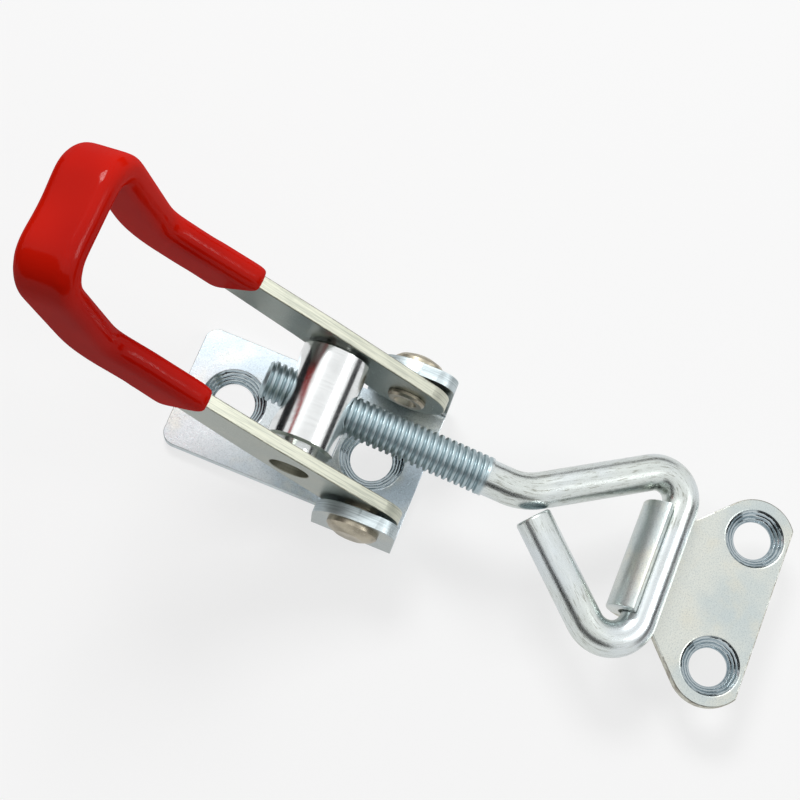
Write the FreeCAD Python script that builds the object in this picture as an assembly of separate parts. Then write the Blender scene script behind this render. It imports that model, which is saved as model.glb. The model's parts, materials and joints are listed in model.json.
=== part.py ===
"""Over centre toggle latch with a hook bolt, a vinyl grip and a curled strike plate.

Millimetres, +Z up.  The origin is midway between the two screw holes of the base bracket, on its
underside; +X points from the base towards the strike plate.  The latch is modelled open, with the
handle part way up and the hook in the strike.
"""
import FreeCAD, Part
import math
import os

Vector = FreeCAD.Vector
Rotation = FreeCAD.Rotation
Placement = FreeCAD.Placement

# ---------------------------------------------------------------- driving dimensions (mm, degrees)
# Base bracket: one folded sheet, a plate with an ear along each side
base_sheet = 2.0
base_length = 39.2
base_corner_r = 2.0
base_hole_spacing = 23.0
base_hole_d = 6.5
base_sink_d = 10.2
ear_length = 12.9
ear_height = 16.2
ear_front_r = 3.2
ear_rear_r = 7.0
ear_fold_r = 1.1            # inside radius of the fold at the foot of an ear
pivot_height = 11.7         # handle pivot above the underside of the base
pivot_from_front = 6.4      # handle pivot behind the front edge of the base

# Handle frame: a bent U of sheet standing on edge; s runs from the pivot along an arm, o across it
arm_sheet = 2.0
frame_width = 20.7          # over the two arms at the pivot
arm_draw_in = 0.35          # each arm stands in by this much at the closed end
draw_in_s = 20.0            # the arms draw in from here
drawn_in_s = 43.0           # to here, and run parallel beyond
arm_tip_r = 6.0             # rounded end of an arm, about the pivot
arm_low = 1.7               # pivot line to the lower edge, in the grip
arm_taper_s = 40.0          # the lower edge tapers as far as this
bend_s = 50.2               # bend of the arms, on their middle line
bend_lift = 39.8            # the closed end rises by this much more
bend_r = 8.8                # bend radius on the middle line
end_length = 21.15          # bend to the outer face of the web
end_width = 7.0             # width of the strip round the closed end
web_corner_r = 5.6          # outside radius of the two corners of the U
handle_lift = 35.0          # angle of the arms above the base as modelled

# Grip: vinyl dipped over the closed end of the frame
vinyl = 1.05
grip_start_high = 32.4      # lip of the grip on the upper edge
grip_start_low = 35.6       # and on the lower edge
grip_edge = 1.2             # bevel along the long edges
grip_lip_high_r = 1.2      # corners of the lip, seen from the side
grip_lip_low_r = 3.2

# Barrel: turned cross piece that carries the bolt
barrel_d = 10.3
barrel_play = 0.85          # barrel to arm, each side
barrel_edge = 0.4
barrel_pin_d = 5.9
barrel_pin_sink = 0.5       # pin end below the outer face of an arm
barrel_s = 14.0             # barrel axis in the arm, from the pivot
barrel_o = 0.2
barrel_side = 0.48           # the barrel lies this far to the far side, within its end play
scoop_r = 22.0              # shallow hollow turned across the mouth of the bore
scoop_depth = 0.8

# Hook bolt: one bent rod
thread_d = 5.95
wire_d = 5.48
thread_length = 35.4
rod_behind = 8.4            # rod end behind the barrel axis
rod_drop = 7.8              # slope of the bolt, down towards the strike
neck_length = 5.9              # from the thread to where the rod turns into the hook
neck_angle = 33.1
neck_bend_r = 9.0
hook_reach = 22.65          # from that turn to the bar across the end of the hook
bar_near = -20.25           # corners of the hook, measured to the crossing of its centre lines
leg_angle = 41.1
hook_far_r = 3.9            # bend at the far end of the bar
hook_near_r = 4.5
leg_end_gap = 0.08           # free end of the hook, short of the neck
rod_chamfer = 0.6

# Strike plate: sheet with a tongue curled round the bar of the hook
strike_sheet = 2.0
strike_hole_spacing = 20.5
strike_hole_d = 5.7
strike_sink_d = 8.9
strike_lobe_r = 6.1
strike_reach = 12.6         # bar axis to the line of the screw holes
strike_shoulder = 10.3       # where the tongue widens, behind the line of the holes
strike_front = 5.15          # line of the holes to the front edge
strike_side = -0.29         # the strike plate lies this far off the middle of the bar
tongue_width = 16.8
curl_r = 3.2                # inside radius of the curl
curl_lip = 70.0             # the curl ends this far round from its rearmost point

# Rivets of the handle pivot
rivet_d = 5.0
rivet_head_d = 7.9
rivet_head_h = 1.7
rivet_tail_d = 5.9
rivet_tail_h = 0.8
rivet_dish_d = 3.6
rivet_dish = 1.0

# Clearances
ear_gap = 0.6               # arm to ear, each side
fit = 0.05                  # running fit, on radius
seat = 0.03                 # set rivet in its ear, on radius

# ---------------------------------------------------------------- derived places
ear_in = frame_width / 2 + ear_gap
ear_out = ear_in + base_sheet
plate_half = ear_in - ear_fold_r
base_front = base_length / 2
pivot = Vector(base_front - pivot_from_front, 0, pivot_height)
arm_out = frame_width / 2
arm_in = arm_out - arm_sheet
grip_width = frame_width - 2 * arm_draw_in
barrel_length = 2 * (arm_in - barrel_play)
neck_s = thread_length + neck_length
bar_s = neck_s + hook_reach

lift = Placement(pivot, Rotation(Vector(0, 1, 0), handle_lift))
turn_back = Placement(Vector(0, 0, 0), Rotation(Vector(0, 0, 1), 180))
handle_place = lift.multiply(turn_back)
barrel_axis = handle_place.multVec(Vector(barrel_s, 0, barrel_o)) + Vector(0, barrel_side, 0)
arm_mid = (arm_tip_r - arm_low) / 2
bend = Vector(bend_s, 0, arm_mid)
along_end = Vector(math.cos(math.radians(bend_lift)), 0, math.sin(math.radians(bend_lift)))
across_end = Vector(-along_end.z, 0, along_end.x)
end_place = Placement(bend, Rotation(Vector(0, 1, 0), -bend_lift))
rod_place = Placement(barrel_axis, Rotation(Vector(0, 1, 0), rod_drop)).multiply(
    Placement(Vector(-rod_behind, 0, 0), Rotation()))
bar_point = rod_place.multVec(Vector(bar_s, 0, 0))


# ---------------------------------------------------------------- helpers
def xy(s, y):
    """Point of a plan sketch."""
    return Vector(s, y, 0)


def xz(s, o):
    """Point of a side sketch."""
    return Vector(s, 0, o)


def line(a, b):
    return Part.LineSegment(a, b).toShape()


def arc(a, middle, b):
    return Part.Arc(a, middle, b).toShape()


def rounded_path(points, radii):
    """Edges of straight runs through the points, joined by tangent arcs at the inner ones."""
    edges = []
    here = points[0]
    for before, corner, after, radius in zip(points, points[1:], points[2:], radii):
        back = (before - corner).normalize()
        ahead = (after - corner).normalize()
        half = back.getAngle(ahead) / 2
        run = radius / math.tan(half)
        start = corner + back * run
        end = corner + ahead * run
        middle = corner + (back + ahead).normalize() * (radius / math.sin(half) - radius)
        edges.append(line(here, start))
        edges.append(arc(start, middle, end))
        here = end
    edges.append(line(here, points[-1]))
    return edges


def prism(edges, direction):
    """Solid of a closed outline, given in any order, pushed along a direction."""
    outline = Part.Wire(Part.__sortEdges__(edges))
    return Part.Face(outline).extrude(direction)


def bar_along_y(radius, y0, y1, centre=Vector(0, 0, 0)):
    return Part.makeCylinder(radius, y1 - y0, centre + Vector(0, y0, 0), Vector(0, 1, 0))


def tangent_point(outside, centre, radius, side):
    """Point where a line from outside touches a circle, on the given side (+1 left, -1 right)."""
    span = centre - outside
    swing = side * math.degrees(math.asin(radius / span.Length))
    reach = math.sqrt(span.Length ** 2 - radius ** 2)
    return outside + Rotation(Vector(0, 0, 1), swing).multVec(span).normalize() * reach


def screw_hole(x, y, top, hole_d, sink_d, sheet):
    """Through hole with a 90 degree countersink from the top face."""
    deep = (sink_d - hole_d) / 2
    bore = Part.makeCylinder(hole_d / 2, sheet + 2, Vector(x, y, top - sheet - 1))
    over = 0.5
    cone = Part.makeCone(hole_d / 2, sink_d / 2 + over, deep + over, Vector(x, y, top - deep))
    return bore.fuse(cone)


def edges_along(shape, direction, least):
    """Straight edges parallel to a direction and at least so long."""
    found = []
    for edge in shape.Edges:
        if edge.Curve.TypeId != "Part::GeomLine" or edge.Length < least:
            continue
        way = edge.Vertexes[1].Point - edge.Vertexes[0].Point
        if way.normalize().cross(direction).Length < 1e-6:
            found.append(edge)
    return found


# ---------------------------------------------------------------- base bracket
def base_bracket():
    plate = Part.makeBox(base_length, 2 * plate_half, base_sheet,
                         Vector(-base_front, -plate_half, 0))
    rear = [e for e in edges_along(plate, Vector(0, 0, 1), 0)
            if e.Vertexes[0].Point.x < 0]
    plate = plate.makeFillet(base_corner_r, rear)
    body = plate
    for side in (-1, 1):
        body = body.fuse(ear(side))
    for x in (-base_hole_spacing / 2, base_hole_spacing / 2):
        body = body.cut(screw_hole(x, 0, base_sheet, base_hole_d, base_sink_d, base_sheet))
    return body.removeSplitter()


def ear(side):
    """Ear folded up from the edge of the plate, with its rivet hole."""
    rear = base_front - ear_length
    fold_z = base_sheet + ear_fold_r
    inner = ear_fold_r
    outer = ear_fold_r + base_sheet

    def yz(y, z):
        return Vector(rear, side * y, z)

    def on_fold(radius):
        d = radius * math.sqrt(0.5)
        return yz(plate_half + d, fold_z - d)

    root = plate_half - 0.5
    section = [
        line(yz(root, 0), yz(plate_half, 0)),
        arc(yz(plate_half, 0), on_fold(outer), yz(ear_out, fold_z)),
        line(yz(ear_out, fold_z), yz(ear_out, ear_height)),
        line(yz(ear_out, ear_height), yz(ear_in, ear_height)),
        line(yz(ear_in, ear_height), yz(ear_in, fold_z)),
        arc(yz(ear_in, fold_z), on_fold(inner), yz(plate_half, base_sheet)),
        line(yz(plate_half, base_sheet), yz(root, base_sheet)),
        line(yz(root, base_sheet), yz(root, 0)),
    ]
    folded = prism(section, Vector(ear_length, 0, 0))

    outline = rounded_path(
        [xz(rear, -1), xz(rear, ear_height), xz(base_front, ear_height), xz(base_front, -1)],
        [ear_rear_r, ear_front_r])
    outline.append(line(xz(base_front, -1), xz(rear, -1)))
    shape = prism(outline, Vector(0, 2 * ear_out + 2, 0))
    shape.translate(Vector(0, -ear_out - 1, 0))
    hole = bar_along_y(rivet_d / 2 + seat, -ear_out - 1, ear_out + 1, pivot)
    return folded.common(shape).cut(hole)


# ---------------------------------------------------------------- pivot rivets
def rivet(side):
    """Rivet turned about the pivot: head on the ear, shank through ear and arm, rolled tail."""
    tail_y = arm_in - fit
    end_y = tail_y - rivet_tail_h
    top_y = ear_out + rivet_head_h
    head = rivet_head_d / 2
    tail = rivet_tail_d / 2
    shank = rivet_d / 2
    dish = rivet_dish_d / 2
    crown = 0.3 * rivet_head_h
    roll = 0.45 * rivet_tail_h

    def rim(r, y):
        return Vector(r, side * y, 0)

    corners = [
        rim(0, end_y + rivet_dish), rim(dish * 0.75, end_y + rivet_dish), rim(dish, end_y),
        rim(tail - roll, end_y), rim(tail, end_y + roll), rim(tail, tail_y), rim(shank, tail_y),
        rim(shank, ear_out), rim(head, ear_out), rim(head, top_y - 2 * crown),
        rim(head - crown, top_y - crown), rim(head * 0.55, top_y), rim(0, top_y),
    ]
    outline = [line(a, b) for a, b in zip(corners, corners[1:] + corners[:1])]
    face = Part.Face(Part.Wire(outline))
    body = face.revolve(Vector(0, 0, 0), Vector(0, 1, 0), 360)
    body.translate(pivot)
    return body


# ---------------------------------------------------------------- handle frame
def side_runs(grow, start_high, start_low):
    """Upper and lower edges of the handle seen from the side; grow pads the strip outwards."""
    half = end_width / 2 + grow
    far = bend + along_end * (end_length + grow + 3)
    high = arm_tip_r + grow
    low = -arm_low - grow
    slope = math.tan(math.radians(bend_lift))

    def crossing(point, level):
        """Where the edge through a point of the closed end meets a level of the arm."""
        return xz(point.x - (point.z - level) / slope, level)

    top_bend = crossing(bend + across_end * half, high)
    low_bend = crossing(bend - across_end * half, low)
    foot = tangent_point(xy(arm_taper_s, -arm_low), xy(0, 0), arm_tip_r, 1)
    taper = (-arm_low - foot.y) / (arm_taper_s - foot.x)
    if start_low > foot.x:
        foot = xy(start_low, -arm_low - taper * (arm_taper_s - start_low))
    upper = rounded_path([xz(start_high, high), top_bend, far + across_end * half],
                         [bend_r - half])
    lower = rounded_path([far - across_end * half, low_bend, xz(arm_taper_s, low),
                          xz(foot.x, foot.y - grow)], [bend_r + half, 3 * bend_r])
    return upper, lower


def side_prism(grow, start_high, start_low):
    """The side of the handle pushed across its whole width."""
    upper, lower = side_runs(grow, start_high, start_low)
    first, last = upper[0].Vertexes[0].Point, lower[-1].Vertexes[-1].Point
    edges = upper + [line(upper[-1].Vertexes[-1].Point, lower[0].Vertexes[0].Point)] + lower
    if start_high > 0:
        edges.append(line(last, first))
    else:
        edges.append(arc(last, xz(-arm_tip_r, 0), first))
    solid = prism(edges, Vector(0, 2 * frame_width, 0))
    solid.translate(Vector(0, -frame_width, 0))
    return solid


def strip_prism(grow, start):
    """Plan of the bent strip, arms drawing in to the closed end, pushed across the side."""
    tall = 3 * arm_tip_r
    bars = []
    for side in (-1, 1):
        plan = [(start, arm_out), (draw_in_s, arm_out), (drawn_in_s, grip_width / 2),
                (bend_s + arm_tip_r, grip_width / 2)]
        outer = [xy(s, side * (y + grow)) for s, y in plan if s >= start]
        inner = [xy(s, side * (y - arm_sheet - grow)) for s, y in plan if s >= start]
        ring = outer + inner[::-1]
        bar = prism([line(a, b) for a, b in zip(ring, ring[1:] + ring[:1])],
                    Vector(0, 0, 2 * tall))
        bar.translate(Vector(0, 0, -tall))
        bars.append(bar)
    end = end_length + grow
    back = 0
    out_y = grip_width / 2 + grow
    in_y = out_y - arm_sheet - 2 * grow
    outer = rounded_path([xy(back, -out_y), xy(end, -out_y), xy(end, out_y), xy(back, out_y)],
                         [web_corner_r + grow] * 2)
    in_end = end - arm_sheet - 2 * grow
    inner = rounded_path([xy(back, -in_y), xy(in_end, -in_y), xy(in_end, in_y), xy(back, in_y)],
                         [web_corner_r - arm_sheet - grow] * 2)
    sides = [line(xy(back, k * in_y), xy(back, k * out_y)) for k in (-1, 1)]
    bow = prism(outer + inner + sides, Vector(0, 0, 2 * tall))
    bow.translate(Vector(0, 0, -tall))
    bow.Placement = end_place.multiply(bow.Placement)
    return bars[0].fuse([bars[1], bow])


def frame_solid():
    body = strip_prism(0, -arm_tip_r - 1).common(side_prism(0, 0, 0)).removeSplitter()
    rivets = bar_along_y(rivet_d / 2 + fit, -arm_out - 1, arm_out + 1)
    pins = bar_along_y(barrel_pin_d / 2 + fit, -arm_out - 1, arm_out + 1,
                       Vector(barrel_s, 0, barrel_o))
    return body.cut(rivets).cut(pins)


def handle_frame():
    body = frame_solid()
    body.Placement = handle_place
    return body


# ---------------------------------------------------------------- grip sleeve
def grip_sleeve():
    """Vinyl over the closed end of the frame, eased along its long edges and at its lips."""
    skin = strip_prism(vinyl, grip_start_high - 1).common(
        side_prism(vinyl, grip_start_high, grip_start_low)).removeSplitter()
    upper, lower = side_runs(vinyl, grip_start_high, grip_start_low)
    lips = [upper[0].Vertexes[0], lower[-1].Vertexes[-1]]
    skin = skin.makeChamfer(grip_edge, sharp_edges_on(skin, upper + lower, lips))
    high, low = lips[0].Point, lips[1].Point
    ahead = Vector(1, 0, 0)
    skin = skin.cut(corner_cut(high + ahead, high, low, grip_lip_high_r))
    skin = skin.cut(corner_cut(high, low, low + ahead, grip_lip_low_r))
    skin = skin.cut(frame_solid())
    skin.Placement = handle_place
    return skin


def corner_cut(before, corner, after, radius):
    """What rounding a corner of the side sketch takes away, pushed across the whole width."""
    back = (before - corner).normalize()
    ahead = (after - corner).normalize()
    half = back.getAngle(ahead) / 2
    start = corner + back * radius / math.tan(half)
    end = corner + ahead * radius / math.tan(half)
    middle = corner + (back + ahead).normalize() * (radius / math.sin(half) - radius)
    off = (back + ahead).normalize() * -radius / math.sin(half)
    edges = [arc(start, middle, end), line(end, end + off), line(end + off, start + off),
             line(start + off, start)]
    solid = prism(edges, Vector(0, 2 * frame_width, 0))
    solid.translate(Vector(0, -frame_width, 0))
    return solid


def sharp_edges_on(solid, runs, ends):
    """Sharp edges of a solid that lie over the given runs of the side sketch, bar their ends."""
    track = Part.Compound(runs)
    stops = Part.Compound(ends)
    found = []
    for edge in solid.Edges:
        faces = solid.ancestorsOfType(edge, Part.Face)
        if len(faces) != 2:
            continue
        spots = [edge.valueAt(edge.FirstParameter + k * (edge.LastParameter - edge.FirstParameter))
                 for k in (0.2, 0.5, 0.8)]
        away = max(track.distToShape(Part.Vertex(Vector(p.x, 0, p.z)))[0] for p in spots)
        middle = Part.Vertex(Vector(spots[1].x, 0, spots[1].z))
        if away > 0.01 or stops.distToShape(middle)[0] < 0.01:
            continue
        normals = []
        for face in faces:
            u, v = face.Surface.parameter(spots[1])
            normals.append(face.normalAt(u, v))
        if normals[0].getAngle(normals[1]) > 0.3:
            found.append(edge)
    return found


# ---------------------------------------------------------------- barrel
def barrel():
    half = barrel_length / 2
    body = bar_along_y(barrel_d / 2, -half, half)
    rims = [e for e in body.Edges if e.Curve.TypeId == "Part::GeomCircle"]
    body = body.makeChamfer(barrel_edge, rims)
    pin_end = arm_out - barrel_pin_sink
    pins = bar_along_y(barrel_pin_d / 2, -pin_end, pin_end)
    rims = [e for e in pins.Edges if e.Curve.TypeId == "Part::GeomCircle"]
    body = body.fuse(pins.makeChamfer(barrel_edge, rims))
    bore = Part.makeCylinder(thread_d / 2 + fit, 2 * barrel_d, Vector(-barrel_d, 0, 0),
                             Vector(1, 0, 0))
    scoop = Part.makeCylinder(scoop_r, 2 * barrel_d,
                              Vector(-barrel_d / 2 + scoop_depth - scoop_r, 0, -barrel_d))
    body = body.cut(bore).cut(scoop)
    body.Placement = Placement(barrel_axis, Rotation(Vector(0, 1, 0), rod_drop))
    return body


# ---------------------------------------------------------------- hook bolt
def hook_path():
    """Centre line of the rod in its own plane, from the end of the thread to the free end."""
    neck = math.radians(neck_angle)
    leg = math.radians(leg_angle)
    far_corner = (bar_s - neck_s) * math.tan(neck)
    toward = Vector(-math.cos(leg), math.sin(leg), 0)
    near = xy(bar_s, bar_near)
    # the leg runs until the rim of its end face stands leg_end_gap off the neck
    across = Vector(-math.sin(neck), math.cos(neck), 0)
    rim = abs(Vector(math.sin(leg), math.cos(leg), 0).dot(across)) * wire_d / 2
    room = -(near - xy(neck_s, 0)).dot(across) - wire_d / 2 - leg_end_gap - rim
    end = near + toward * (room / toward.dot(across))
    points = [xy(thread_length, 0), xy(neck_s, 0), xy(bar_s, far_corner), near, end]
    return rounded_path(points, [neck_bend_r, hook_far_r, hook_near_r])


def hook_bolt():
    shank = Part.makeCylinder(thread_d / 2, thread_length, Vector(0, 0, 0), Vector(1, 0, 0))
    rims = [e for e in shank.Edges if e.Curve.TypeId == "Part::GeomCircle"]
    shank = shank.makeChamfer(rod_chamfer, [e for e in rims if e.Curve.Center.x < 1])
    section = Part.Wire(Part.makeCircle(wire_d / 2, xy(thread_length, 0), Vector(1, 0, 0)))
    path = Part.Wire(hook_path())
    wire = path.makePipeShell([section], True, False)
    body = shank.fuse(wire)
    body.Placement = rod_place
    return body


# ---------------------------------------------------------------- strike plate
def strike_plate():
    """Built about the bar axis, with X towards the screw holes."""
    top = -curl_r
    lobe_y = strike_hole_spacing / 2
    half = tongue_width / 2
    edges = []
    for side in (-1, 1):
        foot = xy(0, side * half)
        shoulder = xy(strike_reach - strike_shoulder, side * half)
        lobe = xy(strike_reach, side * lobe_y)
        touch = tangent_point(shoulder, lobe, strike_lobe_r, side)
        out = touch - lobe
        rise = math.sqrt(strike_lobe_r ** 2 - strike_front ** 2)
        tip = xy(strike_reach + strike_front, side * (lobe_y + rise))
        crest = lobe + (out.normalize() + (tip - lobe).normalize()).normalize() * strike_lobe_r
        edges.append(line(foot, shoulder))
        edges.append(line(shoulder, touch))
        edges.append(arc(touch, crest, tip))
    edges.append(line(xy(tip.x, -tip.y), tip))
    edges.append(line(xy(0, -half), xy(0, half)))
    plate = prism(edges, Vector(0, 0, strike_sheet))
    plate.translate(Vector(0, 0, top - strike_sheet))

    outer = curl_r + strike_sheet
    end = math.radians(180 - curl_lip)

    def around(radius, angle):
        return Vector(radius * math.cos(angle), -half, radius * math.sin(angle))

    down = math.radians(270)
    back = (down + end) / 2
    curl = prism([
        arc(around(outer, down), around(outer, back), around(outer, end)),
        line(around(outer, end), around(curl_r, end)),
        arc(around(curl_r, end), around(curl_r, back), around(curl_r, down)),
        line(around(curl_r, down), around(outer, down)),
    ], Vector(0, tongue_width, 0))

    body = plate.fuse(curl)
    for side in (-1, 1):
        body = body.cut(screw_hole(strike_reach, side * lobe_y, top, strike_hole_d,
                                   strike_sink_d, strike_sheet))
    body = body.removeSplitter()
    body.Placement = Placement(bar_point + Vector(0, bar_middle() + strike_side, 0), Rotation())
    return body


def bar_middle():
    """Middle of the straight bar between its two bends."""
    far_corner = (bar_s - neck_s) * math.tan(math.radians(neck_angle))
    far_run = hook_far_r * math.tan(math.radians(90 + neck_angle) / 2)
    near_run = hook_near_r * math.tan(math.radians(90 + leg_angle) / 2)
    return (far_corner - far_run + bar_near + near_run) / 2


# ---------------------------------------------------------------- write the pieces
pieces = {
    "base_bracket": base_bracket(),
    "rivet_near": rivet(-1),
    "rivet_far": rivet(1),
    "handle_frame": handle_frame(),
    "grip_sleeve": grip_sleeve(),
    "barrel": barrel(),
    "hook_bolt": hook_bolt(),
    "strike_plate": strike_plate(),
}

os.makedirs("parts", exist_ok=True)
for name, shape in pieces.items():
    solid = shape.Solids[0] if len(shape.Solids) == 1 else shape
    box = solid.BoundBox
    print("%-14s solids %d valid %s volume %8.1f  x %6.1f..%6.1f  y %6.1f..%6.1f  z %6.1f..%6.1f" % (
        name, len(shape.Solids), shape.isValid(), shape.Volume,
        box.XMin, box.XMax, box.YMin, box.YMax, box.ZMin, box.ZMax))
    solid.exportStep("parts/%s.step" % name)
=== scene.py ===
# %% [markdown]
# # Over centre toggle latch: dressing the solids
# The solids come from the part's own source and are loaded as a fixed frame. This lesson gives
# them the finish of the real latch: bright zinc on pressed sheet, turned steel, a rolled thread,
# pale bronze rivets and a grip dipped in red vinyl. Every length is in metres, and each solid
# already lies where it belongs, so a new piece is built in place and only has to ride on the right
# body.

# %% Load the solids
import bpy
import bmesh
import json
import math
from mathutils import Matrix, Vector


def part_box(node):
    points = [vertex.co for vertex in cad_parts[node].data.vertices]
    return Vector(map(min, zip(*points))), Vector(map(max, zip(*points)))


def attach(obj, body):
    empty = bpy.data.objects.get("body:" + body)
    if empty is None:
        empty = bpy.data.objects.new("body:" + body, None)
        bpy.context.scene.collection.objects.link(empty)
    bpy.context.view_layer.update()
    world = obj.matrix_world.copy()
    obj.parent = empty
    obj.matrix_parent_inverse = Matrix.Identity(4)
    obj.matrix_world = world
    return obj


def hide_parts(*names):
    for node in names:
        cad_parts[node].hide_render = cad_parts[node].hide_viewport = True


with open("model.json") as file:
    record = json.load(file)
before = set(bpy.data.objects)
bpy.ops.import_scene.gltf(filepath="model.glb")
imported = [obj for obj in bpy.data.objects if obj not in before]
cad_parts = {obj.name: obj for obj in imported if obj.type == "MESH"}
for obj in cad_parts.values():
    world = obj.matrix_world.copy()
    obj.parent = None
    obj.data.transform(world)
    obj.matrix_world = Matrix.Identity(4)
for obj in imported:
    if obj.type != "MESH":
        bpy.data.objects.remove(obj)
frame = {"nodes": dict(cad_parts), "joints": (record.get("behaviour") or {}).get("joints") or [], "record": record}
nodes = frame["nodes"]
joints = {joint["name"]: joint for joint in frame["joints"]}
mounts = {mount["name"]: mount for mount in frame["record"]["mounts"]}
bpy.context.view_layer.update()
scene = bpy.context.scene


def in_mm(lengths):
    """Lengths as millimetres, for printing."""
    return [round(length * 1000, 1) for length in lengths]


print("nodes:", sorted(nodes))

# %% [markdown]
# ## Sums on sockets
# A material is a sum over the surface, and a sum is easier to read as a line of Python than as a
# web of nodes. The class below wraps one output of a node. Arithmetic on it adds Math nodes, also
# when the plain number stands first, as in 1 - mask. Every other node comes from `add`, which sets
# the node's settings first, because some of them decide which sockets there are, and then its
# sockets. It works in a shader tree and in a geometry tree alike.

# %% A socket that can be added, scaled and compared
class Flow:
    """One output of a node, ready for arithmetic."""

    def __init__(self, tree, socket=None):
        self.tree = tree
        self.socket = socket

    def add(self, kind, settings=None, sockets=None, out=0):
        """A new node in the same tree: its settings, then its sockets' values or links."""
        node = self.tree.nodes.new(kind)
        for name, value in (settings or {}).items():
            setattr(node, name, value)
        for key, value in (sockets or {}).items():
            if isinstance(value, Flow):
                self.tree.links.new(value.socket, node.inputs[key])
            else:
                node.inputs[key].default_value = value
        return Flow(self.tree, node.outputs[out] if len(node.outputs) else None)

    def output(self, key):
        """Another output of the same node."""
        return Flow(self.tree, self.socket.node.outputs[key])

    def math(self, operation, *values):
        return self.add("ShaderNodeMath", {"operation": operation}, dict(enumerate(values)))

    def __add__(self, other):
        return self.math("ADD", self, other)

    def __radd__(self, other):
        return self.math("ADD", other, self)

    def __sub__(self, other):
        return self.math("SUBTRACT", self, other)

    def __rsub__(self, other):
        return self.math("SUBTRACT", other, self)

    def __mul__(self, other):
        return self.math("MULTIPLY", self, other)

    def __rmul__(self, other):
        return self.math("MULTIPLY", other, self)

    def __truediv__(self, other):
        return self.math("DIVIDE", self, other)

    def __gt__(self, other):
        return self.math("GREATER_THAN", self, other)

    def __lt__(self, other):
        return self.math("LESS_THAN", self, other)

    def smooth(self, low, high):
        """0 at low, 1 at high and a soft step between, also where high is the smaller."""
        return self.add("ShaderNodeMapRange", {"interpolation_type": "SMOOTHSTEP"},
                        {0: self, 1: low, 2: high, 3: 0.0, 4: 1.0})


print("sockets can be added, scaled and compared")

# %% [markdown]
# ## Colours, grain and dents
# A Math node would turn a colour grey, so colours go through a Mix node. Noise gives the cloudy
# tint of zinc plating and, stretched along one axis, the lines that rolling leaves in sheet. Bump
# turns a height into small dents without moving the mesh.

# %% Small helpers for materials
FINE_DENT = 0.00003       # depth of the grain of the metals


def blend(flow, factor, a, b):
    """Colour a where factor is 0, colour b where it is 1."""
    a, b = (colour if isinstance(colour, Flow) else (*colour, 1.0) for colour in (a, b))
    return flow.add("ShaderNodeMix", {"data_type": "RGBA", "clamp_factor": True},
                    {0: factor, 6: a, 7: b}, out=2)


def grain(place, scale, stretch=(1, 1, 1), detail=3.0, rough=0.5):
    """Noise from 0 to 1 with so many grains to a metre, squeezed along each axis by stretch."""
    spread = place.add("ShaderNodeVectorMath", {"operation": "MULTIPLY"}, {0: place, 1: stretch})
    return place.add("ShaderNodeTexNoise", sockets={
        "Vector": spread, "Scale": scale, "Detail": detail, "Roughness": rough})


def parts(vector):
    """The three numbers of a vector."""
    split = vector.add("ShaderNodeSeparateXYZ", sockets={0: vector})
    return [split.output(k) for k in range(3)]


def dents(height, depth, strength):
    """Normal of a surface whose height, 0 to 1, stands for so many metres."""
    return height.add("ShaderNodeBump", sockets={
        "Height": height, "Distance": depth, "Strength": strength})


def new_material(name):
    """An empty material, and the object coordinates in it."""
    material = bpy.data.materials.new(name)
    material.use_nodes = True
    material.node_tree.nodes.clear()
    return material, Flow(material.node_tree).add("ShaderNodeTexCoord", out="Object")


def finish_with(place, **sockets):
    """The surface shader, with plain numbers on its own sockets."""
    shader = place.add("ShaderNodeBsdfPrincipled", sockets={
        key.replace("_", " "): value for key, value in sockets.items()})
    place.add("ShaderNodeOutputMaterial", sockets={"Surface": shader})


def metal(place, colour, rough, height, strength, depth=FINE_DENT):
    finish_with(place, Base_Color=colour, Metallic=1.0, Roughness=rough,
                Normal=dents(height, depth, strength))


print("helpers for colour, grain, dents and metal ready")

# %% [markdown]
# ## Bright zinc on pressed sheet
# The base, the handle and the strike plate are cut from the same sheet and plated afterwards. The
# broad faces are pale and faintly blue, with a sparkle of fine grain. A sheared edge is different:
# the punch first burnishes it and then tears it, so it is cream and speckled. Where edge meets face,
# the narrow eased rim is painted darker in mottled patches, a painted reflection of the dark that
# it mirrors. The screw holes are countersunk with a turning tool, which leaves rings. The inside of
# the pin's bore in the handle gets painted shade, and the upright faces of the base and the handle
# are darkened with painted shade as well. A painted map for each piece could hold all this, but it
# would be painted again after every change of size. One builder makes all three instead, and each
# piece tells it which faces are edges and rims and where its holes are.

# %% A builder for zinc plated sheet
# the third colour is a painted reflection: the dark that the eased rims mirror
WARM, SPECK, DARK_RIM_REFLECTION = (0.68, 0.66, 0.56), (0.26, 0.31, 0.34), (0.20, 0.185, 0.15)
RING_DARK, RING_LIGHT = (0.34, 0.41, 0.45), (0.52, 0.58, 0.60)
# painted shade: the first colour darkens upright faces, the second the inside of the pin's bore
FLANK_SHADE, BORE_SHADE = (0.22, 0.245, 0.20), (0.14, 0.13, 0.09)
CLOUDED = (0.82, 0.88, 0.94)   # how much of its tint a face keeps where it is clouded
RING_PHASE = 13500.0           # radians to a metre: one turned ring every 0.47 mm
CONE_TILT = 0.97               # level faces are above this, the cone of a hole is below
SOFT = 0.0004                  # the ring marks fade over this, inside and outside


def away_from(a, b, centre):
    """Distance from a centre, in the plane of two coordinates."""
    da, db = a - centre[0], b - centre[1]
    squares = da * da + db * db
    return squares.math("SQRT", squares)


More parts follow.
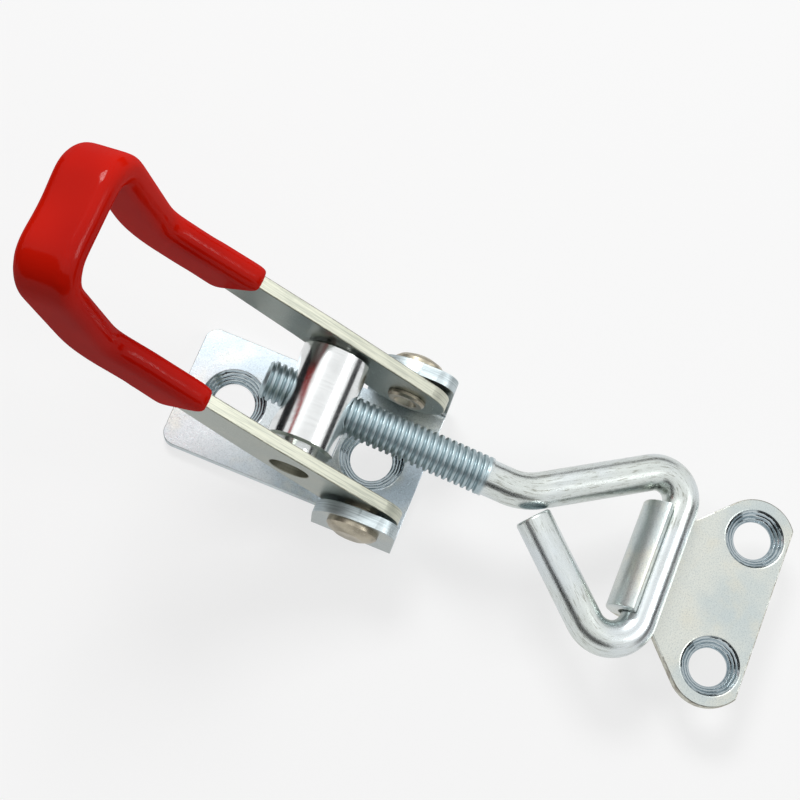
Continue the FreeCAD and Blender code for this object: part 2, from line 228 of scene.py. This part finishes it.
def zinc_sheet(name, edge_of, rim_of, holes=(), shaded_bores=(), tint=(0.62, 0.67, 0.69),
               cut=((0.63, 0.64, 0.54), (0.44, 0.46, 0.39)), lines=(1, 12, 12),
               cut_lines=(0.12, 4, 0.12), flank_shade=0.0):
    """Plated sheet. The last argument is how strongly painted shade darkens its upright faces."""
    material, place = new_material(name)
    p = parts(place)
    steep = [axis.math("ABSOLUTE", axis) for axis in parts(place.output("Normal"))]
    edge = edge_of(p, steep)
    cloud = grain(place, 90, detail=4)
    warm = grain(place, 210)
    speck = grain(place, 4800, rough=0.7)
    drawn = grain(place, 900, stretch=lines, detail=4, rough=0.6)
    shear = grain(place, 1200, stretch=cut_lines, rough=0.6)
    rim_mottle = grain(place, 700, rough=0.7)
    clouded = tuple(shade * keep for shade, keep in zip(tint, CLOUDED))
    face = blend(place, cloud.smooth(0.36, 0.64), tint, clouded)
    face = blend(place, warm.smooth(0.48, 0.70) * 0.5, face, WARM)
    face = blend(place, speck.smooth(0.46, 0.66) * 0.42, face, SPECK)
    colour = blend(place, edge, face, blend(place, shear.smooth(0.42, 0.66), *cut))
    # painted reflection: the eased rims are darkened in mottled patches
    rim = rim_of(p, steep) * (0.35 + 0.55 * rim_mottle.smooth(0.30, 0.62))
    colour = blend(place, rim, colour, DARK_RIM_REFLECTION)
    rough = 0.17 + 0.12 * drawn + 0.14 * speck + 0.14 * edge
    height = drawn * 0.35 + speck * 0.65
    for centre, radius in holes:
        away = away_from(p[0], p[1], centre)
        cone = away.smooth(radius + SOFT, radius - SOFT) * (steep[2] < CONE_TILT)
        swing = away * RING_PHASE + 4.0 * grain(place, 700, detail=2)
        turned = 0.5 + 0.5 * swing.math("SINE", swing)
        colour = blend(place, cone, colour, blend(place, turned, RING_DARK, RING_LIGHT))
        rough = rough * (1 - cone) + 0.16 * cone
        height = height * (1 - cone) + turned * cone
    # painted shade on the upright faces, stronger on the handle than on the base
    if flank_shade:
        upright = steep[2].smooth(0.6, 0.3) * (1 - edge)
        colour = blend(place, upright * flank_shade, colour, FLANK_SHADE)
    # painted shade on the inside of the pin's bore, fading out just past its rim
    for centre, radius in shaded_bores:
        away = away_from(p[0], p[2], centre)
        colour = blend(place, away.smooth(radius + 0.0002, radius - 0.0001), colour, BORE_SHADE)
    metal(place, colour, rough, height, 0.8)
    return material


print("sheet zinc can be made for any pattern of holes")

# %% [markdown]
# Which faces are sheared edges follows from the way they point. On the flat plate an edge stands
# upright, and on an ear or an arm of the handle it is whatever doesn't face sideways. A rim is the
# narrow eased edge between the two, whose normal lies between the axes.

# %% Edges and rims of the base, the handle and the strike plate
base_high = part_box("base_bracket")[1]
strike_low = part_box("strike_plate")[0]
EARS_START = base_high.x - 0.0135      # behind this the base is plate alone
PLATE_TOP, RIM_TOP = 0.00205, 0.0022   # just over the 2 mm sheet, and over its rim
EAR_FOOT = 0.0032                      # above this an ear is straight
CURL_END = 0.0625                      # in front of this the strike is flat


def base_edges(p, steep):
    plate = (steep[2] < 0.4) * (p[2] < PLATE_TOP) * (p[0] < EARS_START)
    ears = (p[2] > EAR_FOOT) * (steep[1] < 0.5)
    edges = plate + ears + (steep[0] > 0.9)
    return edges.math("MINIMUM", edges, 1.0)


def arm_edges(p, steep):
    return steep[1] < 0.5


def strike_edges(p, steep):
    return (steep[2] < 0.3) * (p[2] < strike_low.z + 0.0022)


def eased(part):
    """1 where this part of the normal is neither along its axis nor square to it."""
    return (part > 0.3) * (part < 0.93)


def base_rim(p, steep):
    return eased(steep[2]) * (p[2] < RIM_TOP) * (p[0] < EARS_START)


def arm_rim(p, steep):
    return eased(steep[1])


def strike_rim(p, steep):
    return eased(steep[2]) * (p[2] < strike_low.z + 0.0023) * (p[0] > CURL_END)


print("ears from x =", in_mm([EARS_START]), "mm, strike flat from x =", in_mm([CURL_END]), "mm")

# %% Zinc for the base, the handle and the strike plate
BASE_SINK, STRIKE_SINK, PIN_BORE = 0.0052, 0.0045, 0.0030   # radii of the marks at each hole
base_half = mounts["base_screws"]["dims"]["spacing_x_mm"] / 2000
strike_half = mounts["strike_screws"]["dims"]["spacing_y_mm"] / 2000
strike_at = Vector(mounts["strike_screws"]["pos_m"])
pin_at = joints["barrel_turn"]["pos_m"]

base_zinc = zinc_sheet(
    "zinc_base", base_edges, base_rim, flank_shade=0.6, cut=((0.58, 0.65, 0.67), (0.40, 0.46, 0.48)),
    holes=[((side * base_half, 0.0), BASE_SINK) for side in (-1, 1)])
frame_zinc = zinc_sheet(
    "zinc_handle", arm_edges, arm_rim, tint=(0.50, 0.54, 0.50), flank_shade=0.75,
    shaded_bores=[((pin_at[0], pin_at[2]), PIN_BORE)])
strike_zinc = zinc_sheet(
    "zinc_strike", strike_edges, strike_rim, tint=(0.66, 0.68, 0.63), lines=(12, 1, 12),
    cut=((0.56, 0.56, 0.48), (0.30, 0.27, 0.22)), cut_lines=(1, 1, 1),
    holes=[((strike_at.x, strike_at.y + side * strike_half), STRIKE_SINK) for side in (-1, 1)])
print("sheet zinc on base, handle and strike")

# %% [markdown]
# ## Turned and drawn steel
# The barrel is turned on a lathe, so its finish runs in fine rings about its own axis. The bolt is
# bent from drawn rod, and its streaks run along the rod round every bend. Object coordinates would
# draw them straight through the bends, so they follow a UV map that is laid along the rod. The
# rivets are small and a warmer colour, because they are plated apart.

# %% Zinc for the barrel, the rod and the rivets
ROD_MAP = "along_rod"
THREAD_LENGTH = 0.0354     # from the rod's rear end to the end of its thread


def turned_zinc(name, tint):
    """Rings about the y axis, on cloudy zinc."""
    material, place = new_material(name)
    turned = grain(place, 1400, stretch=(0.05, 1.0, 0.05), detail=5, rough=0.7)
    cloud = grain(place, 160)
    face = blend(place, cloud.smooth(0.4, 0.65), tint, tuple(v * 0.88 for v in tint))
    ringed = tuple(v * 0.7 for v in tint)
    colour = blend(place, turned.smooth(0.45, 0.75) * 0.4, face, ringed)
    metal(place, colour, 0.11 + 0.12 * turned, turned, 0.5, depth=0.00002)
    return material


def drawn_zinc(name, tint, bright=(0.76, 0.79, 0.78), scarred=(0.22, 0.22, 0.18),
               rolled=(0.41, 0.50, 0.53)):
    """Streaks and scars along the rod, and a bluer tone where the thread is rolled."""
    material, place = new_material(name)
    along = place.add("ShaderNodeUVMap", {"uv_map": ROD_MAP})
    streak = grain(along, 1.0, stretch=(38, 170, 1), detail=4, rough=0.65)
    scar = grain(along, 1.0, stretch=(64, 420, 1), rough=0.7)
    patch = grain(place, 95)
    pits = grain(place, 3200, detail=2)
    yellower = (tint[0] * 0.97, tint[1] * 0.96, tint[2] * 0.90)
    face = blend(place, patch.smooth(0.38, 0.62), tint, yellower)
    face = blend(place, streak.smooth(0.50, 0.68) * 0.40, face, bright)
    scars = scar.smooth(0.52, 0.66) * patch.smooth(0.38, 0.60) * 0.7
    face = blend(place, scars, face, scarred)
    thread = parts(along)[1].smooth(THREAD_LENGTH, THREAD_LENGTH - 0.0006)
    rough = 0.17 + 0.16 * streak + 0.06 * pits + 0.12 * thread
    metal(place, blend(place, thread, face, rolled), rough, streak * 0.7 + pits * 0.3, 0.7)
    return material


def rivet_bronze(name, light=(0.46, 0.42, 0.33), deep=(0.31, 0.28, 0.22),
                 spark=(0.60, 0.57, 0.47)):
    """Cloudy pale bronze with bright specks."""
    material, place = new_material(name)
    cloud = grain(place, 420)
    speck = grain(place, 4200, detail=2)
    colour = blend(place, cloud.smooth(0.35, 0.65), light, deep)
    colour = blend(place, speck.smooth(0.55, 0.75) * 0.5, colour, spark)
    metal(place, colour, 0.30 + 0.15 * speck, speck * 0.5 + cloud * 0.5, 0.5)
    return material


barrel_zinc = turned_zinc("zinc_barrel", (0.84, 0.86, 0.86))
rod_zinc = drawn_zinc("zinc_rod", (0.66, 0.71, 0.73))
bronze = rivet_bronze("rivet_bronze")
print("turned, drawn and rivet finishes made")

# %% [markdown]
# ## Dipped vinyl
# The grip is dipped and hung up to cure, so its colour is deep and even, its surface is glossy and
# very slightly wavy. A coat over a coloured base gives that depth, and slow noise in the bump
# gives the waves that make its highlights wander. A plain gloss would mirror the pale floor in
# every face seen from the side and wash the red out, so the base has no gloss of its own and the
# coat thins towards grazing angles.

# %% Red vinyl
def vinyl(name, lit=(0.62, 0.010, 0.003), deep=(0.50, 0.006, 0.002)):
    """Red with no gloss of its own under a thin glossy coat."""
    material, place = new_material(name)
    wave = grain(place, 70, detail=1)
    fine = grain(place, 900, detail=2)
    grazing = place.add("ShaderNodeLayerWeight", sockets={"Blend": 0.5}, out=1)
    finish_with(place, Base_Color=blend(place, wave.smooth(0.3, 0.7), lit, deep),
                Roughness=0.34 + 0.06 * fine, Coat_Weight=0.36 * (1 - grazing),
                Coat_Roughness=0.13, Coat_IOR=1.40, Specular_IOR_Level=0.0, IOR=1.45,
                Normal=dents(wave * 0.9 + fine * 0.1, 0.0004, 0.35))
    return material


red = vinyl("red_vinyl")
print("vinyl:", red.name)

# %% Give each solid its finish
for name, material in [("base_bracket", base_zinc), ("handle_frame", frame_zinc),
                       ("strike_plate", strike_zinc), ("barrel", barrel_zinc),
                       ("rivet_near", bronze), ("rivet_far", bronze)]:
    nodes[name].data.materials.clear()
    nodes[name].data.materials.append(material)
print("finishes:", [material.name for material in bpy.data.materials])

# %% [markdown]
# ## Softer edges on the sheet parts
# No pressed edge is perfectly sharp, and it is the narrow rounded edge that catches the light. A
# solid from the frame may not be changed, but it may carry modifiers. Its mesh is loose triangles,
# so they are welded, flat faces are joined, and then a small bevel finds the real edges by their
# angle.

# %% Ease the edges
MERGE = 0.000002           # corners nearer than this are one corner
EASE = {"base_bracket": 0.00018, "handle_frame": 0.00016, "strike_plate": 0.00018}


def ease_edges(piece, width):
    weld = piece.modifiers.new("weld", "WELD")
    weld.merge_threshold = MERGE
    flat = piece.modifiers.new("flat", "DECIMATE")
    flat.decimate_type = "DISSOLVE"
    flat.angle_limit = math.radians(0.5)
    bevel = piece.modifiers.new("bevel", "BEVEL")
    bevel.width = width
    bevel.segments = 2
    bevel.limit_method = "ANGLE"
    bevel.angle_limit = math.radians(32)
    bevel.harden_normals = False
    smooth = piece.modifiers.new("smooth", "WEIGHTED_NORMAL")
    smooth.keep_sharp = True


for name, width in EASE.items():
    ease_edges(nodes[name], width)
    print("eased", name, round(width * 1000, 2), "mm")

# %% [markdown]
# ## The rolled thread
# A thread is one shape that repeats: a groove that moves one pitch along for every turn. Cutting
# it with booleans is slow and fragile. Geometry Nodes can instead take a plain tube and pull every
# point in to the height that the thread has at its angle, so the pitch, the depth and the way it
# fades out at each end stay named inputs. The tube's own ends give the flat end face for nothing.

# %% The bolt's own line
BEHIND = 0.0084            # the rod's rear end lies this far behind the barrel's axis
rod_way = Vector(joints["bolt_screw"]["axis"]).normalized()
rod_side = Vector((0, 1, 0))
rod_start = Vector(joints["barrel_turn"]["pos_m"]) - rod_way * BEHIND
to_world = Matrix((rod_way, rod_side, rod_way.cross(rod_side))).transposed().to_4x4()
to_world.translation = rod_start
bar_s = (Vector(joints["strike_turn"]["pos_m"]) - rod_start).dot(rod_way)
print("bar lies", round(bar_s * 1000, 2), "mm from the rod's rear end")

# %% A tree that rolls a thread
ROOT_END, CREST_START = 0.08, 0.66     # flat root and flat crest, in parts of half a pitch


def thread_tree():
    """The tree, and the identifier of each of its named inputs."""
    tree = bpy.data.node_groups.new("rolled_thread", "GeometryNodeTree")
    face = tree.interface
    face.new_socket("Geometry", in_out="INPUT", socket_type="NodeSocketGeometry")
    kinds = {"Rings": "Int", "Sides": "Int", "Finish": "Material"}
    inputs = {label: face.new_socket(label, in_out="INPUT",
                                     socket_type="NodeSocket" + kinds.get(label, "Float"))
              for label in ("Length", "Pitch", "Outside", "Depth", "Chamfer", "Run out",
                            "Rings", "Sides", "Finish")}
    face.new_socket("Geometry", in_out="OUTPUT", socket_type="NodeSocketGeometry")
    entry = tree.nodes.new("NodeGroupInput")
    wants = {label: Flow(tree, entry.outputs[label]) for label in inputs}

    # a plain tube along x
    start = Flow(tree)
    end = start.add("ShaderNodeCombineXYZ", sockets={0: wants["Length"]})
    line = start.add("GeometryNodeCurvePrimitiveLine", sockets={"End": end})
    line = start.add("GeometryNodeResampleCurve", sockets={"Curve": line, "Count": wants["Rings"]})
    outer = wants["Outside"] / 2
    ring = start.add("GeometryNodeCurvePrimitiveCircle",
                     sockets={"Resolution": wants["Sides"], "Radius": outer})
    tube = start.add("GeometryNodeCurveToMesh",
                     sockets={"Curve": line, "Profile Curve": ring, "Fill Caps": True})

    # how far along the groove each point is, and the radius that gives it
    x, y, z = parts(start.add("GeometryNodeInputPosition"))
    turns = x / wants["Pitch"] - start.math("ARCTAN2", z, y) / (2 * math.pi)
    off = start.math("FRACT", turns) - 0.5
    crest = (off.math("ABSOLUTE", off) * 2).smooth(ROOT_END, CREST_START)
    left = wants["Length"] - x
    fade = x.smooth(0.0, wants["Pitch"] * 0.5) * left.smooth(0.0, wants["Run out"])
    radius = outer - wants["Depth"] * (1 - crest) * fade
    radius = start.math("MINIMUM", radius, outer - wants["Chamfer"] + x)
    scale = radius / outer

    moved = start.add("ShaderNodeCombineXYZ", sockets={0: x, 1: y * scale, 2: z * scale})
    shaped = start.add("GeometryNodeSetPosition", sockets={"Geometry": tube, "Position": moved})
    shaped = start.add("GeometryNodeSetShadeSmooth", sockets={"Geometry": shaped})
    shaped = start.add("GeometryNodeRealizeInstances", sockets={"Geometry": shaped})
    shaped = start.add("GeometryNodeSetMaterial",
                       sockets={"Geometry": shaped, "Material": wants["Finish"]})
    tree.links.new(shaped.socket, tree.nodes.new("NodeGroupOutput").inputs[0])
    return tree, {label: socket.identifier for label, socket in inputs.items()}


print("thread tree ready")

# %% Roll it, and keep it as a plain mesh
PITCH = 0.001
RINGS_TO_A_PITCH = 14


def run_tree(name, tree, identifiers, values):
    """The mesh that a geometry tree makes from these inputs."""
    holder = bpy.data.objects.new(name + "_maker", bpy.data.meshes.new(name))
    scene.collection.objects.link(holder)
    modifier = holder.modifiers.new("maker", "NODES")
    modifier.node_group = tree
    for label, value in values.items():
        modifier[identifiers[label]] = value
    ready = holder.evaluated_get(bpy.context.evaluated_depsgraph_get())
    mesh = bpy.data.meshes.new_from_object(ready)
    bpy.data.objects.remove(holder)
    return mesh


thread_mesh = run_tree("thread", *thread_tree(), {
    "Length": THREAD_LENGTH, "Pitch": PITCH, "Outside": 0.00594, "Depth": 0.00045,
    "Chamfer": 0.0006, "Run out": 0.0016, "Sides": 56, "Finish": rod_zinc,
    "Rings": int(THREAD_LENGTH / PITCH * RINGS_TO_A_PITCH)})
print("thread:", len(thread_mesh.polygons), "faces over", in_mm([THREAD_LENGTH]), "mm")

# %% [markdown]
# ## The bent rod
# The hook is one rod bent three times. A curve with a round profile could do it, but its bends are
# hard to hold to a radius. Here a ring of points is carried along the middle line, and because
# every bend lies in one plane the ring never twists. Straight runs need rings only at their ends,
# so nearly all of the faces go to the bends. A UV map is laid on as it is swept: across is the way
# round the rod and along is the distance travelled.

# %% The rod's middle line
WIRE = 0.00548                                      # diameter of the plain rod
NECK_S, NECK_ANGLE = 0.0413, math.radians(33.1)     # first bend: how far along, and how much
BAR_NEAR = -0.02025                                 # near corner of the hook, off the shank's line
LEG_ANGLE = math.radians(41.1)                      # the free leg, to the shank's line
END_GAP = 0.00008                                   # free end of the leg, short of the neck
NECK_R, FAR_R, NEAR_R = 0.009, 0.0039, 0.0045       # bend radii on the middle line


def hook_corners():
    """Where the straight runs would meet: shank's end, neck, far and near corner, free end."""
    neck = Vector((NECK_S, 0, 0))
    far = Vector((bar_s, (bar_s - NECK_S) * math.tan(NECK_ANGLE), 0))
    near = Vector((bar_s, BAR_NEAR, 0))
    back = Vector((-math.cos(LEG_ANGLE), math.sin(LEG_ANGLE), 0))
    across = Vector((-math.sin(NECK_ANGLE), math.cos(NECK_ANGLE), 0))
    rim = abs(Vector((math.sin(LEG_ANGLE), math.cos(LEG_ANGLE), 0)).dot(across)) * WIRE / 2
    room = -(near - neck).dot(across) - WIRE / 2 - END_GAP - rim
    end = near + back * (room / back.dot(across))
    return [Vector((THREAD_LENGTH, 0, 0)), neck, far, near, end]


def bent_line(corners, radii, step=math.radians(5)):
    """Points and directions along straight runs joined by arcs."""
    line = [(corners[0], (corners[1] - corners[0]).normalized())]
    for before, corner, after, radius in zip(corners, corners[1:], corners[2:], radii):
        into, out = (corner - before).normalized(), (after - corner).normalized()
        turn_by = into.angle(out)
        sense = 1 if into.cross(out).z > 0 else -1
        run = radius * math.tan(turn_by / 2)
        start = corner - into * run
        centre = start + Vector((-into.y, into.x, 0)) * sense * radius
        count = max(2, round(turn_by / step))
        for k in range(count + 1):
            spin = Matrix.Rotation(sense * turn_by * k / count, 3, "Z")
            line.append((centre + spin @ (start - centre), spin @ into))
    line.append((corners[-1], (corners[-1] - corners[-2]).normalized()))
    return line


path = bent_line(hook_corners(), [NECK_R, FAR_R, NEAR_R])
length = sum((b[0] - a[0]).length for a, b in zip(path, path[1:]))
print("bent rod:", in_mm([length]), "mm along", len(path), "stations")

# %% Rings along the rod
END_EASE = 0.0004          # the free end is rounded off over this


def eased_stations(path, radius):
    """Point, direction and radius along the path, closing in at its free end."""
    stations = [(point, way, radius) for point, way in path]
    last, way, _ = stations[-1]
    stations[-1] = (last - way * END_EASE, way, radius)
    for part in (0.4, 0.75, 1.0):
        angle = part * math.pi / 2
        stations.append((last - way * END_EASE * (1 - math.sin(angle)), way,
                         radius - END_EASE * (1 - math.cos(angle))))
    return stations


def ring_of_points(point, way, radius, sides):
    """A ring round the rod. It starts underneath, so that the seam of the UV map lies there."""
    flat = Vector((-way.y, way.x, 0))
    angles = [2 * math.pi * k / sides - math.pi / 2 for k in range(sides)]
    return [point + flat * radius * math.cos(a) + Vector((0, 0, radius * math.sin(a)))
            for a in angles]


stations = eased_stations(path, WIRE / 2)
print("stations with the eased end:", len(stations))

# %% Sweep the rod
def swept_rod(stations, sides=48):
    """A closed rod through the stations, with a UV map along it."""
    shape = bmesh.new()
    layer = shape.loops.layers.uv.new(ROD_MAP)
    rings, gone = [], []
    here, before = THREAD_LENGTH, stations[0][0]
    for point, way, radius in stations:
        here += (point - before).length
        before = point
        gone.append(here)
        rings.append([shape.verts.new(spot) for spot in ring_of_points(point, way, radius, sides)])
    for row, (low, high) in enumerate(zip(rings, rings[1:])):
        for k in range(sides):
            m = (k + 1) % sides
            face = shape.faces.new((low[k], low[m], high[m], high[k]))
            face.smooth = True
            corners = ((k, row), (k + 1, row), (k + 1, row + 1), (k, row + 1))
            for loop, (across, along) in zip(face.loops, corners):
                loop[layer].uv = (across / sides, gone[along])
    for ring in (rings[0][::-1], rings[-1]):
        shape.faces.new(ring)
    bmesh.ops.recalc_face_normals(shape, faces=shape.faces)
    mesh = bpy.data.meshes.new("rod")
    shape.to_mesh(mesh)
    shape.free()
    return mesh


rod_mesh = swept_rod(stations)
print("rod:", len(rod_mesh.polygons), "faces")

# %% [markdown]
# ## Thread and rod become the bolt
# Both meshes lie along the x axis of their own. The thread gets the same kind of UV map as the
# rod, so that the one finish runs on from one to the other, and the two are joined and put in
# their place with the matrix from above. The bolt then stands for the plain solid and rides on its
# body.

# %% Join thread and rod into the bolt
def lay_thread_uv(mesh):
    layer = mesh.uv_layers.new(name=ROD_MAP)
    for polygon in mesh.polygons:
        for index in polygon.loop_indices:
            point = mesh.vertices[mesh.loops[index].vertex_index].co
            around = math.atan2(point.z, point.y) / (2 * math.pi) + 0.5
            layer.data[index].uv = (around, point.x)


def joined(name, meshes, place):
    """One object from several meshes, moved to their place."""
    shape = bmesh.new()
    for mesh in meshes:
        shape.from_mesh(mesh)
    shape.transform(place)
    mesh = bpy.data.meshes.new(name)
    shape.to_mesh(mesh)
    shape.free()
    piece = bpy.data.objects.new(name, mesh)
    scene.collection.objects.link(piece)
    return piece


lay_thread_uv(thread_mesh)
bolt = joined("bolt_finish", [thread_mesh, rod_mesh], to_world)
bolt.data.materials.append(rod_zinc)
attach(bolt, "bolt")
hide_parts("hook_bolt")
print("bolt:", len(bolt.data.polygons), "faces")

# %% [markdown]
# ## The dipped grip
# A dipped sleeve has no sharp edge anywhere, and the closed end has a shallow hollow for the
# thumb. The solid has the right size and bevelled edges, and a second bevel would only cut its
# narrow faces up. So a copy of it is remeshed into small even faces and relaxed. Then a rule moves
# its points: the middle of the web's outer face is found, and points near it are pressed in by a
# bell shaped hollow.

# %% Soften a copy of the sleeve
VOXEL, RELAX_ROUNDS = 0.00030, 56


def softened_copy(name, source):
    """A copy of a solid in small even faces, with all its edges relaxed."""
    mesh = source.data.copy()
    shape = bmesh.new()
    shape.from_mesh(mesh)
    bmesh.ops.remove_doubles(shape, verts=shape.verts, dist=MERGE)
    shape.to_mesh(mesh)
    shape.free()
    piece = bpy.data.objects.new(name, mesh)
    scene.collection.objects.link(piece)
    remesh = piece.modifiers.new("remesh", "REMESH")
    remesh.mode = "VOXEL"
    remesh.voxel_size = VOXEL
    relax = piece.modifiers.new("relax", "SMOOTH")
    relax.factor = 0.5
    relax.iterations = RELAX_ROUNDS
    ready = piece.evaluated_get(bpy.context.evaluated_depsgraph_get())
    made = bpy.data.meshes.new_from_object(ready)
    piece.modifiers.clear()
    piece.data = made
    for polygon in made.polygons:
        polygon.use_smooth = True
    return piece


grip = softened_copy("grip_finish", nodes["grip_sleeve"])
print("grip:", len(grip.data.polygons), "faces")

# %% Find the web, and press in the hollow for the thumb
WEB_HALF = 0.004           # the middle strip of the web, each side of the latch's plane
WEB_SKIN = 0.0035          # the web's outer face lies within this of the farthest point
WALL = 0.0016              # points deeper than this belong to the inner wall, and stay
HOLLOW_DEPTH, HOLLOW_R = 0.00045, 0.0042

hub = Vector(joints["handle_swing"]["pos_m"])
web = [face for face in grip.data.polygons
       if abs(face.center.y) < WEB_HALF and abs(face.normal.y) < 0.3]
reach = max((face.center - hub).length for face in web)
web = [face for face in web if (face.center - hub).length > reach - WEB_SKIN]
facing = sum((face.normal * face.area for face in web), Vector()).normalized()
web_at = sum((face.center * face.area for face in web), Vector()) / sum(face.area for face in web)
for vertex in grip.data.vertices:
    off = vertex.co - web_at
    level = off.dot(facing)
    if level > -WALL:
        spread = (off - facing * level).length
        vertex.co -= facing * HOLLOW_DEPTH * math.exp(-(spread / HOLLOW_R) ** 2)
print("thumb hollow at", in_mm(web_at), "mm, facing", [round(v, 2) for v in facing])

# %% Let the grip ride on the handle
grip.data.materials.clear()
grip.data.materials.append(red)
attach(grip, "handle")
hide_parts("grip_sleeve")
print("grip rides on the handle")

# %% [markdown]
# ## Floor, light and camera
# The latch lies on a plain pale floor. To the camera, and in the metal, the floor shows mostly its
# own even white, and the rest of it takes the shadow. Bright metal shows whatever is round it, and
# in an all white room a rod would have no shape. More lamps wouldn't help, so five dark cards that
# the camera doesn't see stand round the latch and give the rods and the barrel their dark flanks.
# The two nearest are held up off the floor, because from low down behind the latch its level
# plates would mirror them and look black.

# %% Floor and cards
LATCH_MIDDLE = Vector((0.02, 0, 0.015))
FLOOR_HALF = 3             # metres from the middle to each side
CARDS = {  # degrees round from +x, distance, half width, lower and upper edge
    "card_front": (268, 0.105, 0.12, 0.058, 0.16),
    "card_corner": (222, 0.125, 0.07, 0.060, 0.15),
    "card_grip": (178, 0.17, 0.07, 0.004, 0.10),
    "card_back": (84, 0.34, 0.12, 0.004, 0.10),
    "card_hook": (2, 0.26, 0.10, 0.004, 0.11),
}


def flat_panel(name, corners, material):
    mesh = bpy.data.meshes.new(name)
    mesh.from_pydata([tuple(corner) for corner in corners], [], [(0, 1, 2, 3)])
    mesh.materials.append(material)
    panel = bpy.data.objects.new(name, mesh)
    scene.collection.objects.link(panel)
    return panel


def card_corners(turn_to, away, half, low, high):
    """The corners of an upright card that faces the middle of the latch."""
    spin = Matrix.Rotation(math.radians(turn_to), 3, "Z")
    shift = Vector((LATCH_MIDDLE.x, 0, 0))
    return [spin @ Vector((away, side * half, height)) + shift
            for side, height in ((-1, low), (1, low), (1, high), (-1, high))]


def seen_directly(flow):
    """1 to the camera, in a reflection and through glass, and 0 where it only lights."""
    rays = flow.add("ShaderNodeLightPath")
    seen = rays.output("Is Camera Ray")
    for key in ("Is Glossy Ray", "Is Transmission Ray"):
        seen = seen.math("MAXIMUM", seen, rays.output(key))
    return seen


def plain_shader(colour):
    return {"Base Color": (*colour, 1.0), "Roughness": 0.8, "Specular IOR Level": 0.1}


def card_finish(name, colour):
    material, place = new_material(name)
    card = place.add("ShaderNodeBsdfPrincipled", sockets=plain_shader(colour))
    place.add("ShaderNodeOutputMaterial", sockets={"Surface": card})
    return material


def floor_finish(name, colour, lift):
    """Pale floor that shows nearly white, and still keeps the shadow."""
    material, place = new_material(name)
    ground = place.add("ShaderNodeBsdfPrincipled", sockets=plain_shader(colour))
    glow = place.add("ShaderNodeEmission", sockets={"Color": (1, 1, 1, 1), "Strength": 1.0})
    both = place.add("ShaderNodeMixShader",
                     sockets={0: seen_directly(place) * lift, 1: ground, 2: glow})
    place.add("ShaderNodeOutputMaterial", sockets={"Surface": both})
    return material


white = floor_finish("floor_white", (0.86, 0.86, 0.86), 0.72)
dark = card_finish("dark_card", (0.012, 0.012, 0.014))
flat_panel("floor", [(x * FLOOR_HALF, y * FLOOR_HALF, 0)
                     for x, y in ((-1, -1), (1, -1), (1, 1), (-1, 1))], white)
for name, card in CARDS.items():
    flat_panel(name, card_corners(*card), dark).visible_camera = False
print("floor and", len(CARDS), "dark cards")

# %% [markdown]
# ## World and lamps
# A world of plain white light would do, but it leaves no shadow to say that the latch lies on
# something. So the world lights at less than half strength and still shows white, and two broad
# soft lamps do the rest: the stronger above and behind, the weaker beside the strike. Together
# they light at a level where a colour renders about as it is written.

# %% World and lamps
WORLD_LIGHTS, WORLD_SHOWS = 0.45, 1.0
LAMP_AIM = (0.01, 0, 0.02)

world = bpy.data.worlds.new("studio")
scene.world = world
world.use_nodes = True
world.node_tree.nodes.clear()
sky = Flow(world.node_tree)
strength = WORLD_LIGHTS + (WORLD_SHOWS - WORLD_LIGHTS) * seen_directly(sky)
light = sky.add("ShaderNodeBackground", sockets={"Color": (1, 1, 1, 1), "Strength": strength})
sky.add("ShaderNodeOutputWorld", sockets={"Surface": light})


def soft_lamp(name, at, size, watts):
    lamp = bpy.data.lights.new(name, "AREA")
    lamp.shape = "RECTANGLE"
    lamp.size, lamp.size_y = size
    lamp.energy = watts
    holder = bpy.data.objects.new(name, lamp)
    holder.location = at
    holder.rotation_mode = "QUATERNION"
    holder.rotation_quaternion = (Vector(LAMP_AIM) - Vector(at)).to_track_quat("-Z", "Y")
    scene.collection.objects.link(holder)


soft_lamp("key", at=(-0.28, 0.42, 0.66), size=(0.30, 0.20), watts=3.4)
soft_lamp("fill", at=(0.55, 0.10, 0.50), size=(0.22, 0.22), watts=0.9)
print("two lamps")

# %% [markdown]
# ## Camera
# The camera looks down steeply from in front of the latch, a little to one side, so that the
# handle runs up to the left and the strike down to the right. Its place, its turn and its small
# shift were found by fitting known corners of the solids, and not by eye.

# %% Camera
lens = bpy.data.cameras.new("camera")
lens.lens, lens.sensor_width = 81.0, 36.0
lens.shift_x, lens.shift_y = -0.0056, -0.0031
camera = bpy.data.objects.new("camera", lens)
camera.location = (0.02155, -0.063585, 0.27089)
camera.rotation_euler = [math.radians(turn) for turn in (15.037, -4.117, 21.852)]
scene.collection.objects.link(camera)
scene.camera = camera
scene.view_settings.view_transform = "Standard"
print("camera", in_mm([(camera.location - LATCH_MIDDLE).length]), "mm off")
